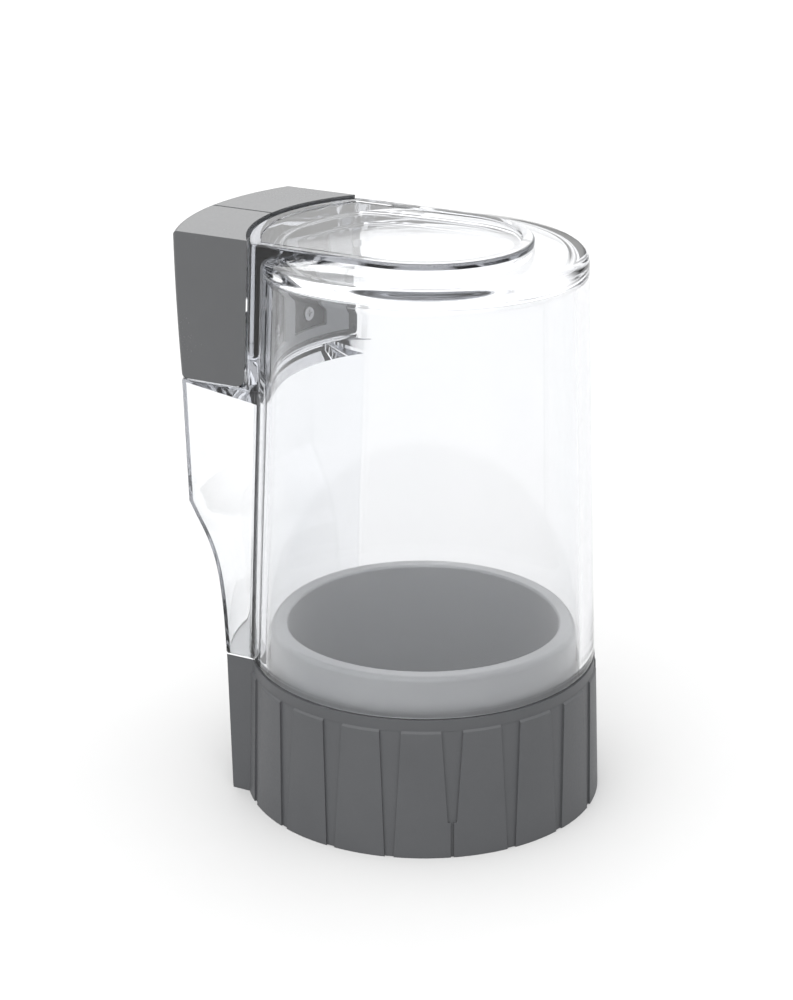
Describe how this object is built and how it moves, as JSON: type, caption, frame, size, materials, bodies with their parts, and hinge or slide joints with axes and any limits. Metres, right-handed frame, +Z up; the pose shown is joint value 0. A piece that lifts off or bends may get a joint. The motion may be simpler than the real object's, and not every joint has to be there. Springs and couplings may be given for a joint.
{
  "type": "magnetic system filter canister",
  "caption": "Clear canister of a heating filter: tapered bowl with closed top, rear spine, lift-out magnet pack, inner sleeve and ribbed bayonet collar.",
  "frame": {"origin": "centre of the sleeve bore in the plane the canister stands on", "axes": "+Z up along the canister axis, +X to the front (the round end of the raised top), -X to the rear spine and magnet pack"},
  "size_m": [0.1267, 0.108, 0.1725],
  "materials": {
    "clear_plastic": "clear moulded, polished",
    "sleeve_plastic": "fine satin, light grey",
    "collar_plastic": "fine moulded texture, dark grey",
    "cover_plastic": "fine moulded texture, dark grey",
    "carrier_plastic": "moulded, charcoal",
    "seal_rubber": "black rubber",
    "pad_rubber": "foam rubber",
    "slip_plastic": "low-friction ring, pale grey",
    "ring_steel": "spring steel",
    "magnet_metal": "nickel plated",
    "yoke_steel": "zinc plated",
    "dowel_steel": "zinc plated",
    "nub_plastic": "smooth"
  },
  "bodies": {
    "canister": {"clear_canister": "clear_plastic", "inner_sleeve": "sleeve_plastic", "sleeve_seal": "seal_rubber", "spigot_seal": "seal_rubber", "slip_ring": "slip_plastic", "retaining_ring": "ring_steel"},
    "collar": {"grip_collar": "collar_plastic"},
    "magnet_pack": {"rear_cover_left": "cover_plastic", "rear_cover_right": "cover_plastic", "front_plate": "carrier_plastic", "magnet_carrier": "carrier_plastic", "magnet_bar_1": "magnet_metal", "magnet_bar_2": "magnet_metal", "magnet_bar_3": "magnet_metal", "magnet_bar_4": "magnet_metal", "yoke_plate": "yoke_steel", "backing_pad": "pad_rubber", "seam_dowels": "dowel_steel", "plate_screws": "dowel_steel", "detent_nubs": "nub_plastic"}
  },
  "joints": [
    {"name": "collar_turn", "type": "hinge", "parent": "canister", "child": "collar", "pos_m": [0, 0, 0.02], "axis": [0, 0, 1], "range_deg": [0, 45]},
    {"name": "pack_lift", "type": "slide", "parent": "canister", "child": "magnet_pack", "axis": [0, 0, 1], "range_m": [0, 0.046]}
  ]
}
